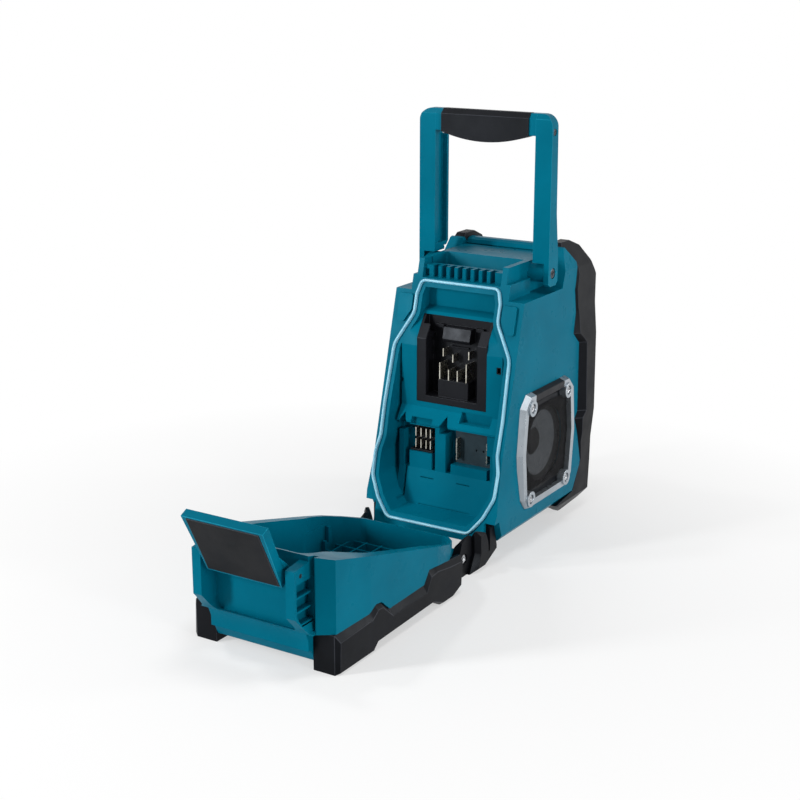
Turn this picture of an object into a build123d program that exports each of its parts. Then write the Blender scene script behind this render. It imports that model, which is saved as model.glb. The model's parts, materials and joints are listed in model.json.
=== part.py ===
from build123d import *
import math
import os

# Jobsite radio with a rear battery door, a folding handle and two side speakers.
# Millimetres, +Z up, the control panel faces -Y and the battery door opens towards +Y.
# It is modelled about the door hinge (y = 0) and moved onto its footprint's centre at the end.

os.makedirs("parts", exist_ok=True)

# ---------------------------------------------------------------- driving dimensions
# housing
half_width = 72.0
flare = 2.5
flare_top_z = 87.0
flare_low_z = 53.0
top_z = 251.7
base_z = 20.0
wall = 3.0
rear_foot_y = -29.0
rear_foot_z = 30.5
rear_slope = 0.265
front_y = -204.0

# door hinge
hinge_z = 17.0
hinge_pin_r = 3.0
hinge_play = 0.06
knuckle_r = 8.0
knuckle_width = 12.5
foot_gap = 0.5
foot_width = 16.0
foot_inset = 5.0
foot_bevel = 5.0
foot_lug = 8.0
foot_seat = 3.0
pin_head_r = 5.0
head_clearance = 0.6

# seal round the battery compartment
seal_half_width = 1.35
seal_height = 3.0
seal_floor_z = 31.0
door_gap = 0.4
rim_wall = 3.4
rim_lip = 2.6

# upstand with the comb and the tray
upstand_rise = 24.8
side_wall_rise = 6.2
comb_rear_y = -97.0
comb_depth = 12.0
comb_slot = 5.6
comb_pitch = 9.1
comb_count = 8
comb_height = 12.0
tray_wall = 6.0
tray_front_y = -141.0
tray_depth = 22.0
tray_corner_r = 3.0
crossbar_rise = 6.3
shadow_gap = 0.6

# battery compartment
block_half = 57.0
block_face_y = -73.6
block_top_z = 207.0
block_slope_z = 232.0
insert_back_y = -103.0
bay_face_y = -69.0
ledge_face_y = -64.5
ledge_low_z = 121.0
ledge_back_z = 136.5
bay_floor_z = 73.0
usb_x = 53.0
aux_x = 57.0
aux_z = 161.5
aux_r = 2.2
plug_r = 1.78
small_bay = (19, 45, 90, 117)
plate_bay = (-44, -3, 83, 121)

# battery socket
socket_half = 39.7
socket_low_z = 142.0
socket_base = 5.0
rail_gap = 29.0
rail_groove = 2.5
blade_thick = 1.0
blade_pitch = 10.0
holder_top_z = 167.0

# battery door
door_overhang = 2.0
door_floor_z = 8.0
door_wall = 3.0
door_end_y = 238.0
panel_end_y = 246.4
frame_half = 52.7
frame_flange = 9.0
recess_corner_r = 9.0
frame_out_y = 266.5
frame_low_z = 55.0
frame_top_z = 97.0
sill_low_z = 19.0
sill_low_y = 243.0
sill_top_z = 36.0
sill_top_y = 249.6
side_slot = 5.3
web_thick = 1.6
web_count = 4
web_pitch = 12.5
web_low_z = 48.0
flange_skin = 2.8
flange_front = 2.5
rib_thick = 1.6
rib_top_z = 21.0
rib_pitch = 17.0

# door bumpers
bumper_leg_inset = 3.0
bumper_out = 2.3
foot_in_x = 51.0
foot_end_y = 240.0
foot_top_z = 36.0

# latch
latch_y = 258.0
latch_z = 91.0
latch_tilt = 26.6
latch_face = 10.6
latch_skin = 8.5
latch_tail = 7.8
latch_reach = 54.6
latch_half_low = 38.5
latch_half_top = 41.5
latch_pin_r = 2.0
latch_play = 0.06
pad_proud = 0.6
pad_sunk = 1.2
pad_margin = 1.6

# handle
handle_overhang = 1.7
arm_inner = 8.5
arm_inner_depth = 27.5
arm_groove = 5.5
arm_width = 18.0
arm_depth_top = 12.5
arm_depth_low = 20.0
arm_corner_r = 12.0
arm_drop = 12.5
handle_top_z = 426.0
bar_thick = 21.0
pivot_y = -144.0
pivot_rise = 19.8
pivot_back = 9.7
pivot_screw_r = 3.0
pivot_play = 0.06
barrel_r = 9.5
barrel_length = 12.0
barrel_gap = 5.7
grip_half = 48.5
grip_proud = 1.5
grip_belly = 8.0

# speakers
speaker_y = -138.0
speaker_z = 98.5
speaker_hole_r = 41.0
screw_half_y = 39.5
screw_half_z = 47.0
speaker_screw_r = 2.2
frame_lift = 6.0
frame_band = 9.0
frame_bevel = 2.5
corner_lift = 1.5
corner_r = 8.0
louvre_pitch = 7.0
louvre_count = 13

# front
panel_depth = 28.0
panel_inset = 22.0
panel_wall = 3.0
bumper_depth = 43.0
bumper_bevel = 8.0
knob_r = 21.0
knob_z = 112.0
knob_depth = 13.0
shaft_r = 3.0
shaft_play = 0.6
button_play = 0.25
button_travel = 1.0
button_out = 2.5
button_inner = 1.2
lens_width = 64.0
lens_height = 40.0
lens_z = 224.0
lens_thick = 1.5
lens_lip = 3.0
board_gap = 9.6
board_thick = 1.6

# places that follow from the sizes above
flare_half = half_width + flare
upstand_top = top_z + upstand_rise
comb_floor_z = upstand_top - comb_height
side_wall_top = upstand_top + side_wall_rise
crossbar_top = side_wall_top + crossbar_rise
arm_out = half_width + handle_overhang
arm_in = arm_out - arm_width
barrel_out = arm_in + barrel_length
upstand_half = arm_in - barrel_gap
tray_half = upstand_half - tray_wall
arm_rear_y = pivot_y + pivot_back
pivot_z = top_z + pivot_rise
arm_low_z = pivot_z - arm_drop
bar_low_z = handle_top_z - bar_thick
foot_out = half_width - foot_inset
foot_in = foot_out - foot_width
foot_lug_x = foot_in + foot_lug
knuckle_out = foot_in - foot_gap
knuckle_in = knuckle_out - knuckle_width
door_half = half_width + door_overhang
bumper_leg = half_width - bumper_leg_inset
column_in = frame_half + side_slot
bumper_half = door_half + bumper_out
panel_half = half_width - panel_inset
panel_y = front_y - panel_depth
board_y = panel_y + board_gap
bumper_out_y = front_y - bumper_depth
far_x = half_width + 20


# ---------------------------------------------------------------- drawing helpers
def rear_y(z):
    """The housing's rear plane, which the door closes on."""
    return rear_foot_y - rear_slope * (z - rear_foot_z)


def extrude_yz(face, x0, x1):
    """A face drawn in (y, z), from x0 to x1."""
    return extrude(Plane.YZ.offset(x0) * face, amount=x1 - x0, dir=(1, 0, 0))


def prism_yz(points, x0, x1):
    """A side-view outline of (y, z) points, from x0 to x1."""
    return extrude_yz(Polygon(*points, align=None), x0, x1)


def prism_xz(face, y0, y1):
    """A rear-view face drawn in (x, z), from y0 to y1."""
    return extrude(Plane.XZ.offset(-y1) * face, amount=y1 - y0, dir=(0, -1, 0))


def prism_xy(points, z0, z1):
    """A top-view outline of (x, y) points, from z0 to z1."""
    return Pos(0, 0, z0) * extrude(Polygon(*points, align=None), amount=z1 - z0, dir=(0, 0, 1))


def ruled_yz(points0, x0, points1, x1):
    """A faceted solid between two side-view outlines with the same number of points."""
    first = Plane.YZ.offset(x0) * Polygon(*points0, align=None)
    last = Plane.YZ.offset(x1) * Polygon(*points1, align=None)
    return loft([first.face(), last.face()], ruled=True)


def block(x0, x1, y0, y1, z0, z1):
    return Pos((x0 + x1) / 2, (y0 + y1) / 2, (z0 + z1) / 2) * Box(x1 - x0, y1 - y0, z1 - z0)


def rod_x(x0, x1, y, z, r):
    return Pos((x0 + x1) / 2, y, z) * Rot(0, 90, 0) * Cylinder(r, x1 - x0)


def rod_y(x, y0, y1, z, r):
    return Pos(x, (y0 + y1) / 2, z) * Rot(90, 0, 0) * Cylinder(r, y1 - y0)


def both(shape):
    return shape + mirror(shape, about=Plane.YZ)


def symmetric(points):
    """A closed outline from its +x half, listed from one end of the centre line to the other."""
    return points + [(-x, z) for x, z in reversed(points)]


def solid_set(shapes):
    return Compound(children=[s for shape in shapes for s in shape.solids()])


# ---------------------------------------------------------------- shared outlines
# centre line of the seal, seen from the rear: (x, z) and the corner's radius
seal_corners = [(half_width - 29, top_z + 10.3, 6), (half_width - 25, top_z - 3.7, 12),
                (half_width - 25, top_z - 21.7, 18), (half_width - 7, top_z - 53.7, 22),
                (half_width - 5, 140, 30), (half_width - 5.5, 108, 20), (half_width - 2, 92, 20),
                (half_width - 2.5, 68, 20), (half_width - 12, 48, 20), (half_width - 25.5, seal_floor_z, 10)]
seal_top_z = seal_corners[0][1]


def seal_path(place):
    """Half of the seal's centre line, through place(x, z), from the top centre to the bottom centre."""
    stops = [(0, seal_top_z)] + [(x, z) for x, z, r in seal_corners] + [(0, seal_floor_z)]
    return FilletPolyline(*[place(x, z) for x, z in stops], radius=[r for x, z, r in seal_corners])


def seal_face(grow, shift_z=0.0):
    """The seal's outline grown by the given amount, as a face in (x, z)."""
    half = seal_path(lambda x, z: (x, z))
    face = make_face(half.edges() + mirror(half, about=Plane.YZ).edges())
    if grow:
        face = offset(face, amount=grow, kind=Kind.INTERSECTION)
    return Pos(0, shift_z) * face


housing_section = [(half_width - 6, base_z), (half_width + 0.5, 27), (flare_half, flare_low_z),
                   (half_width, flare_top_z), (half_width, top_z + 60)]
# boundary between the housing and the rubber front bumpers, seen from the side
front_line = [(front_y - 2.5, 26), (front_y - 16, 58), (front_y - 12, 87), (front_y - 4, 106),
              (front_y - 10, 113), (front_y - 9, 187), (front_y + 5, 199), (front_y + 1, top_z - 30.7),
              (front_y + 5, top_z - 6.7), (front_y + 3, top_z + 1.3)]
ear_line = [(front_y, top_z + 21.3), (front_y + 18, top_z + 38.3), (front_y + 21, top_z + 37.3),
            (front_y + 27, top_z + 20.3), (front_y + 34, top_z)]


def housing_profile():
    """Side view of the main box: rear plane, floor, front line and top."""
    lower = [(rear_y(24), 24), (-40, base_z), (-170, base_z)]
    (y0, z0), (y1, z1) = front_line[-2:]
    upper = [(y0 + (y1 - y0) * (top_z - z0) / (z1 - z0), top_z), (rear_y(top_z), top_z)]
    return lower + front_line[:-1] + upper


def speaker_outline(grow=0.0):
    """Ten-sided speaker frame in (y, z) about the speaker's centre, as a face in the YZ plane."""
    corners = [(-43, 61), (43, 61), (55, 49), (60, 2), (55, -46), (43, -58), (-43, -58), (-55, -46),
               (-60, 2), (-55, 49)]
    face = Polygon(*corners, align=None)
    if grow:
        face = offset(face, amount=grow, kind=Kind.INTERSECTION)
    return Pos(speaker_y, speaker_z) * face


def speaker_plate(x0, x1, grow=0.0):
    return extrude_yz(speaker_outline(grow), x0, x1)


def screw_places():
    return [(speaker_y + sy * screw_half_y, speaker_z + sz * screw_half_z)
            for sy in (-1, 1) for sz in (-1, 1)]


# ---------------------------------------------------------------- housing
foot_block = [(-13, 43), (-41, 44.5), (-53.5, 18), (-53.5, 12), (-27, 0), (-5, 0), (-15, 19)]
foot_face = [(-18, 36), (-43, 40), (-50, 17.5), (-50, 14), (-27, 4), (-14, 4), (-19, 18)]


def hinge_foot_solid():
    """Rubber foot: a lug round the hinge and a bevelled block beside it, cut back where the door swings."""
    side = [(-14, 43), (-41, 44), (-53, 17), (-27, 0), (4, 0), (10, 8), (10, 22), (5, 35)]
    foot = prism_yz(side, foot_in, foot_lug_x) + prism_yz(foot_block, foot_lug_x - 1, foot_out - foot_bevel)
    foot = foot + ruled_yz(foot_block, foot_out - foot_bevel, foot_face, foot_out)
    reach = [(foot_in - 1, 13), (foot_in + 3, 17), (foot_in + 9, 25), (foot_in + 13, 30), (foot_in + 19, 37),
             (foot_in + 19, 80), (foot_in - 1, 80)]
    swing = revolve(Plane.XZ * Polygon(*reach, align=None), Axis.X)
    swept = block(foot_in - 11, far_x, -36, 60, hinge_z - 1, 90)
    swept = swept + block(foot_in - 11, far_x, -3, 60, 4, hinge_z)
    return foot - (Pos(0, 0, hinge_z) * swing & swept) - prism_xz(seal_face(seal_half_width + 1.4), -70, 30)


def comb_slots():
    """Open-topped slots along the upstand's rear edge, and one small square pocket."""
    first = -(comb_count - 1) / 2 * comb_pitch
    cutters = []
    for i in range(comb_count):
        x = first + i * comb_pitch
        cutters.append(block(x - comb_slot / 2, x + comb_slot / 2, comb_rear_y - comb_depth + 2.5,
                             comb_rear_y + 8, comb_floor_z, upstand_top + 1))
    pocket_x = -first + comb_pitch + 1
    cutters.append(block(pocket_x - 2.5, pocket_x + 2.5, comb_rear_y - 3, comb_rear_y + 1,
                         comb_floor_z + 1, comb_floor_z + 8))
    return cutters


def tray_solid():
    """The tray's hollow between the comb and the flat part of the upstand."""
    low_z = upstand_top - tray_depth
    hollow = block(-tray_half, tray_half, tray_front_y, comb_rear_y - comb_depth, low_z, side_wall_top + 1)
    return fillet(hollow.edges().filter_by(Axis.Z), tray_corner_r)


def housing():
    section = Polygon(*symmetric(housing_section), align=None)
    profile = Polygon(*housing_profile(), align=None)
    outer = extrude_yz(profile, -far_x, far_x) & prism_xz(section, -260, 10)
    inner_profile = offset(profile, amount=-wall, kind=Kind.INTERSECTION)
    inner_section = offset(section, amount=-wall, kind=Kind.INTERSECTION)
    cavity = extrude_yz(inner_profile, -far_x, far_x) & prism_xz(inner_section, -260, 10)

    upstand_side = [(rear_y(top_z - 5), top_z - 5), (rear_y(comb_floor_z), comb_floor_z),
                    (rear_y(side_wall_top), side_wall_top), (front_y + 13, side_wall_top),
                    (front_y + 11, crossbar_top - 2), (front_y + 7, crossbar_top), (front_y, crossbar_top),
                    (front_y, top_z + 1.3), (front_y + 5, top_z - 6.7), (front_y + 8, top_z - 5)]
    upstand = prism_yz(upstand_side, -upstand_half, upstand_half)
    comb_step = block(-tray_half, tray_half, comb_rear_y, 10, comb_floor_z, side_wall_top + 1)
    comb_step = comb_step + block(-tray_half, tray_half, comb_rear_y - comb_depth - 0.5, 10, upstand_top,
                                  side_wall_top + 1)
    groove = block(-upstand_half - 1, upstand_half + 1, front_y + 9.5, front_y + 15,
                   side_wall_top - shadow_gap, side_wall_top + shadow_gap)
    ear = prism_yz(ear_line + [(front_y + 34, top_z - 2), (front_y + 14, top_z - 2),
                               (front_y + 5, top_z - 6.7), (front_y + 3, top_z + 1.3)], upstand_half, far_x)
    ear_cut = prism_xz(Polygon((half_width, top_z + 16.3), (half_width, top_z + 48),
                               (half_width - 10, top_z + 48), align=None), -260, -150)
    ear = (ear - ear_cut) & prism_xz(section, -260, 10)
    step_z = comb_floor_z + 2.5
    shelf_step = both(prism_yz([(pivot_y + 11, top_z - 1), (pivot_y + 11, step_z), (rear_y(step_z), step_z),
                                (rear_y(top_z - 1), top_z - 1)], upstand_half - 1, arm_in - 1.2))
    seat = offset(Polygon(*foot_block, align=None), amount=foot_seat, kind=Kind.INTERSECTION)
    seat = extrude_yz(seat, foot_in - foot_seat, far_x) & outer

    shell = outer + upstand + both(ear) + shelf_step - cavity + both(seat)
    hollow_top = block(-upstand_half + wall, upstand_half - wall, front_y + 17, tray_front_y - wall,
                       top_z - wall - 2, side_wall_top - wall)
    front_hole = block(-panel_half + wall, panel_half - wall, front_y - 26, front_y + 14, 40, top_z - 11.7)
    opening = prism_xz(seal_face(-rim_wall), insert_back_y, 10)
    shell = shell - tray_solid() - comb_step - hollow_top - front_hole - opening - groove
    for cutter in comb_slots():
        shell = shell - cutter
    speaker_hole = rod_x(half_width - 30, far_x, speaker_y, speaker_z, speaker_hole_r)
    shell = shell - both(speaker_hole)
    shell = shell - both(hinge_foot_solid() + prism_yz(foot_block, foot_out - foot_bevel, far_x))
    shell = shell - both(speaker_plate(half_width, far_x))
    for y, z in screw_places():
        shell = shell - both(rod_x(half_width - 12, far_x, y, z, speaker_screw_r))
    shell = shell + both(rod_x(upstand_half - 3, barrel_out, pivot_y, pivot_z, barrel_r))
    shell = shell - both(rod_x(upstand_half - 4, barrel_out + 1, pivot_y, pivot_z,
                               pivot_screw_r + pivot_play))
    for x in (-22, 22):
        for y in (-185, -115):
            shell = shell + Pos(x, y, base_z + wall + 2.5) * Cylinder(3, 5.2)
    return shell + both(corner_pad())


def corner_pad():
    """Raised pad with rounded corners beside the seal's shoulder."""
    inner, right = half_width - 21.5, half_width - 6
    outline = Polygon((inner, top_z - 3.7), (right, top_z - 3.7), (right, top_z - 30.7),
                      (right - 8, top_z - 30.7), (inner, top_z - 18.7), align=None)
    outline = fillet(outline.vertices(), 2)
    pad = prism_xz(outline, -101, -60)
    lift = 2.2
    return pad & prism_yz([(rear_y(top_z - 37) + lift, top_z - 37), (rear_y(top_z - 2) + lift, top_z - 2),
                           (-100, top_z - 2), (-95, top_z - 37)], 0, far_x)


# ---------------------------------------------------------------- battery compartment
def recess_behind(points):
    """Side-view cutter that removes everything between the rear plane and the given wall line."""
    return [(20, points[0][1])] + points + [(20, points[-1][1])]


def battery_socket_solid():
    side = [(block_face_y, socket_low_z), (block_face_y, block_top_z), (-88, block_top_z + 22),
            (insert_back_y + socket_base, block_top_z + 22), (insert_back_y + socket_base, socket_low_z)]
    return prism_yz(side, -socket_half, socket_half)


def battery_socket():
    """Slide socket: a base plate, two guide rails with grooves, a blade holder and a top tab."""
    base_y = insert_back_y + 2 * socket_base
    floor_z = socket_low_z + 7
    body = battery_socket_solid()
    body = body - block(-rail_gap, rail_gap, base_y, block_face_y + 1, floor_z, block_top_z + 30)
    groove = block(rail_gap - 1, rail_gap + rail_groove, base_y, block_face_y - 6, floor_z, block_top_z - 1)
    body = body - both(groove)
    body = body - both(block(rail_gap - 1, socket_half - 3, base_y, block_face_y - 9, block_top_z + 4,
                             block_top_z + 30))
    holder = block(-17, 17, base_y - 0.2, block_face_y - 3.4, floor_z - 0.5, holder_top_z)
    tab = prism_yz([(base_y - 0.2, 204), (base_y + 9, 204), (base_y + 11, 207), (base_y + 8, 219),
                    (base_y - 0.2, 219)], -15.5, 15.5)
    stops = both(block(18, 27, base_y - 0.2, base_y + 3, 216, 220))
    strip = block(-10, 10, base_y - 0.2, base_y + 2, 197, 199)
    return body + holder + tab + stops + strip


def socket_blades():
    """Four tall blades on the holder and three short ones under the tab."""
    base_y = insert_back_y + 2 * socket_base
    blades = []
    for i, top in enumerate((186, 178, 178, 184)):
        x = (i - 1.5) * blade_pitch
        blades.append(block(x - blade_thick / 2, x + blade_thick / 2, base_y, block_face_y - 3.4,
                            holder_top_z, top))
    for x, low in ((15, 189), (4, 184), (-14, 189)):
        blades.append(block(x - blade_thick / 2, x + blade_thick / 2, base_y, block_face_y - 10,
                            low, low + 8))
    return blades


def gable(x0, x1, apex_x, base_z_, apex_z):
    """A slot's pointed top in the bay ledge."""
    outline = Polygon((x0, base_z_), (apex_x, apex_z), (x1, base_z_), (x1, base_z_ - 6), (x0, base_z_ - 6),
                      align=None)
    return prism_xz(outline, -82, -50)


def compartment():
    body = prism_xz(seal_face(-rim_wall), insert_back_y, 10)
    body = body & prism_yz([(rear_y(20), 20), (rear_y(290), 290), (-140, 290), (-140, 20)], -far_x, far_x)
    recess_y = insert_back_y + 3.5
    mid_line = [(-56, 34), (-61, 37), (-66, 60), (bay_face_y, bay_floor_z), (bay_face_y, ledge_low_z - 2),
                (ledge_face_y, ledge_low_z), (ledge_face_y, ledge_low_z + 2), (block_face_y, ledge_back_z),
                (block_face_y, block_top_z), (-90, block_slope_z), (recess_y, block_slope_z + 4),
                (recess_y, top_z + 4.3)]
    side_line = [(-50, 34), (-76, 60), (-84, block_slope_z - 4), (recess_y, block_slope_z + 4),
                 (recess_y, top_z + 4.3)]
    inside = prism_xz(seal_face(-rim_wall - rim_lip), -120, 20)
    mid = prism_yz(recess_behind(mid_line), -block_half, block_half)
    side = both(prism_yz(recess_behind(side_line), block_half, far_x))
    body = body - (mid & inside) - (side & inside)
    body = body - battery_socket_solid() - both(block(48, far_x, insert_back_y - 1, -87, 20, 222))
    for cutter in bay_cutters():
        body = body - cutter
    body = body - both(rod_y(aux_x, -80, -60, aux_z, aux_r))
    body = body - block(-usb_x - 2.5, -usb_x + 2.5, -84, -70, 182, 189)
    tab = prism_yz([(-82, 118), (-82, 128), (-73, 126), (-70, 122), (-70, 118)], 17, 41)
    return body + tab


def bay_cutters():
    """Pockets and slots of the two lower bays, under a ledge with pointed notches."""
    x0, x1, z0, z1 = small_bay
    p0, p1, q0, q1 = plate_bay
    cutters = [block(x0, x1, -88, -60, z0, z1 + 1), block(p0, p1, -88, -60, q0, q1)]
    cutters.append(block(x1, x1 + 6.5, -80, -60, bay_floor_z, z1 - 1))
    cutters.append(block(x0 - 4, x0, -78, -60, bay_floor_z, z1 + 1))
    cutters.append(block(p1, p1 + 6, -84, -60, bay_floor_z, q1))
    cutters.append(block(p0 - 3.7, p0, -80, -60, bay_floor_z, 99))
    cutters.append(block(17, 41, -74, -60, 119, 127))
    cutters.append(gable(x1 - 1, x1 + 12, x1 + 5, z1, 130))
    cutters.append(gable(p1, p1 + 13, p1 + 5, 119, 132))
    cutters.append(block(-47, -12.7, -77, -60, 127.5, 138))
    cutters.append(block(x1 + 2, x1 + 4.5, -72, -50, 42, bay_floor_z + 0.5))
    cutters.append(block(15.5, 31, -69.5, -60, 64.2, 65.2))
    cutters.append(block(-26, -11, -69.5, -60, 64.2, 65.2))
    cutters.append(block(-29.5, 29.5, -62.5, -56, 37.5, 38.5))
    return cutters


# ---------------------------------------------------------------- battery door
def rim_z(y):
    """Height of the open door's rim, so that it meets the seal when closed."""
    gap = (seal_height + door_gap) * math.sqrt(1 + rear_slope ** 2)
    return hinge_z - rear_y(y + hinge_z) - gap


door_outline = [(0, 12.5), (half_width - 23.5, 12.5), (half_width - 10, 29.5), (half_width, 51),
                (door_half, 76), (door_half + 0.5, 188), (door_half - 1.5, door_end_y - 1),
                (column_in + 1, panel_end_y), (0, panel_end_y)]
# door bumper seen from the side: its upper and lower lines where it meets the door, and on its outer face
bumper_top = [(foot_end_y, foot_top_z), (190, foot_top_z + 1), (180, 42), (171, 41), (158, 30), (100, 30.5),
              (91, 42), (80, 41), (57, 38), (32, 36)]
bumper_top_out = [(foot_end_y - 4, 29), (187, 30.5), (178, 37), (171, 36), (155, 22.5), (98, 22), (90, 35),
                  (79, 36.5), (57, 33), (34, 31)]
bumper_base = [(33, 6), (50, 0), (70, 0), (86, 8.5), (178, 7), (184, 0), (foot_end_y, 0)]
bumper_base_out = [(36, 8), (51, 2.5), (69, 2.5), (86, 9.5), (179, 8), (186, 2), (foot_end_y - 3, 2)]


def bumper_solid():
    """Right-hand door bumper: an L section that wraps the door's lower edge, with bevelled outer faces."""
    outer = prism_yz(bumper_top + bumper_base, foot_in_x, door_half - 1.5)
    outer = outer + ruled_yz(bumper_top + bumper_base, door_half - 1.5,
                             bumper_top_out + bumper_base_out, bumper_half)
    inner = block(foot_in_x - 1, bumper_leg, 0, foot_end_y - 6, door_floor_z, 60)
    return outer - inner


def bumper_seat():
    """The space in the door's side wall that the bumper fills."""
    wall_zone = prism_yz(bumper_top + [(32, -1), (foot_end_y, -1)], bumper_leg, far_x)
    corner = block(foot_in_x, far_x, foot_end_y - 6, 300, -1, foot_top_z)
    return wall_zone + corner


def door_cavity():
    """The space inside the door: the seal's outline, narrowed low down where the bumpers wrap the shell."""
    face = seal_face(-rim_wall + 1.6, -hinge_z)
    cavity = extrude(Plane.XY.offset(door_floor_z + door_wall) * face, amount=150, dir=(0, 0, 1))
    inner = bumper_leg - door_wall
    low = block(-inner, inner, 0, door_end_y - 2, 0, 46)
    return cavity & (low + block(-far_x, far_x, 0, 300, 45, 200))


def door_frame():
    """Flanged frame round the latch recess, flaring out to the sill between the feet."""
    side = [(panel_end_y - 4, sill_low_z), (sill_low_y, sill_low_z), (sill_top_y, sill_top_z),
            (frame_out_y, frame_low_z), (frame_out_y, frame_top_z), (panel_end_y - 4, frame_top_z + 3)]
    outline = symmetric([(frame_half, frame_top_z + 4), (frame_half, frame_low_z - 3),
                         (arm_in - 0.7, sill_top_z + 3.5), (column_in, sill_top_z + 1),
                         (column_in, sill_top_z), (foot_in_x, sill_top_z),
                         (foot_in_x, sill_low_z - 1)])
    frame = prism_yz(side, -column_in, column_in) & prism_xz(Polygon(*outline, align=None), 200, 300)
    recess_half = frame_half - frame_flange
    floor_z = sill_top_z + 1
    recess_side = prism_yz([(panel_end_y - 0.5, floor_z), (frame_out_y - 6, floor_z + 3),
                            (frame_out_y + 20, floor_z + 9), (frame_out_y + 20, 130),
                            (panel_end_y - 0.5, 130)], -recess_half, recess_half)
    recess_front = Polygon((recess_half, 140), (recess_half, floor_z - 1), (-recess_half, floor_z - 1),
                           (-recess_half, 140), align=None)
    recess_front = fillet(recess_front.vertices().sort_by(Axis.Y)[:2], recess_corner_r)
    return frame - (recess_side & prism_xz(recess_front, 200, 300))


def flange_pocket():
    """Pocket in the flange's outer side, which the webs divide."""
    pocket_top = web_low_z + web_pitch * (web_count - 1) - web_thick / 2
    back_y, skin_y = door_end_y + 2, frame_out_y - flange_front
    side = [(back_y, sill_top_z + 6), (skin_y - 9, sill_top_z + 6), (skin_y, frame_low_z + 2),
            (skin_y, pocket_top), (back_y, pocket_top)]
    return prism_yz(side, frame_half - frame_flange + flange_skin, frame_half + 1)


def door_webs():
    """Short shelves across the pocket in the flange."""
    levels = [web_low_z + web_pitch * i for i in range(web_count)]
    return [block(frame_half - frame_flange + flange_skin - 0.5, frame_half, door_end_y + 1, frame_out_y - 1,
                  z - web_thick / 2, z + web_thick / 2) & door_frame() for z in levels]


def door_ribs():
    """Lattice on the door's floor at its hinge end."""
    low = door_floor_z + door_wall - 0.5
    ribs = []
    for i in range(8):
        x = 55.5 - rib_pitch * i
        ribs.append(block(x - rib_thick / 2, x + rib_thick / 2, 20, 64, low, rib_top_z))
    for y in (23, 40, 57):
        ribs.append(block(5 - bumper_leg, bumper_leg - 5, y - rib_thick / 2, y + rib_thick / 2,
                          low, rib_top_z))
    return ribs


def door_posts():
    """Hooked posts that hold the battery's lower end."""
    hook = [(47, 10), (53, 10), (53, 43), (50, 43), (50, 39), (47, 39)]
    short = [(53, 10), (59, 10), (59, 30), (56, 30), (56, 27), (53, 27)]
    post_x = bumper_leg - door_wall
    return [prism_yz(hook, post_x - 4.5, post_x - 1), prism_yz(short, post_x - 4.5, post_x - 1)]


def door():
    plan = [(x, y) for x, y in door_outline]
    plan = plan + [(-x, y) for x, y in reversed(plan[1:-1])]
    tub = prism_xy(plan, door_floor_z, door_floor_z + 120)
    tub = tub - both(bumper_seat())
    pocket = both(block(frame_half, column_in, panel_end_y - 8, 300, sill_top_z + 3, 140))
    lug = both(rod_x(frame_half - frame_flange, frame_half, latch_y, latch_z, 6))
    under = [(door_end_y, door_floor_z - 1), (door_end_y, door_floor_z), (sill_low_y, sill_low_z),
             (sill_low_y + 20, sill_low_z), (sill_low_y + 20, door_floor_z - 1)]
    tub = tub - pocket - prism_yz(under, -far_x, far_x) + door_frame() + lug - both(flange_pocket())
    for web in door_webs():
        tub = tub + both(web)
    slope = [(0, rim_z(0)), (290, rim_z(290)), (290, 200), (0, 200)]
    tub = tub - prism_yz(slope, -far_x, far_x)
    cavity = door_cavity()
    tub = tub - cavity
    for rib in door_ribs():
        tub = tub + (rib & cavity)
    for post in door_posts():
        tub = tub + both(post)
    knuckle = rod_x(knuckle_in, knuckle_out, 0, hinge_z, knuckle_r)
    arm = block(knuckle_in, knuckle_out, 0, 15, hinge_z - knuckle_r, hinge_z + knuckle_r)
    tub = tub + both(knuckle + arm)
    tub = tub - both(rod_x(knuckle_in - 1, knuckle_out + 1, 0, hinge_z, hinge_pin_r + hinge_play))
    tub = tub - rod_x(-far_x, far_x, latch_y, latch_z, latch_pin_r)
    return tub


# ---------------------------------------------------------------- latch
def latch_point(u, n):
    """A point of the latch in (y, z): u along the plate, n out of its pad face, at the rest tilt."""
    a = math.radians(latch_tilt)
    return (latch_y + u * math.sin(a) + n * math.cos(a), latch_z + u * math.cos(a) - n * math.sin(a))


def latch_prism(points, x0, x1):
    """An outline of (u, n) points on the latch, from x0 to x1."""
    return prism_yz([latch_point(u, n) for u, n in points], x0, x1)


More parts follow.
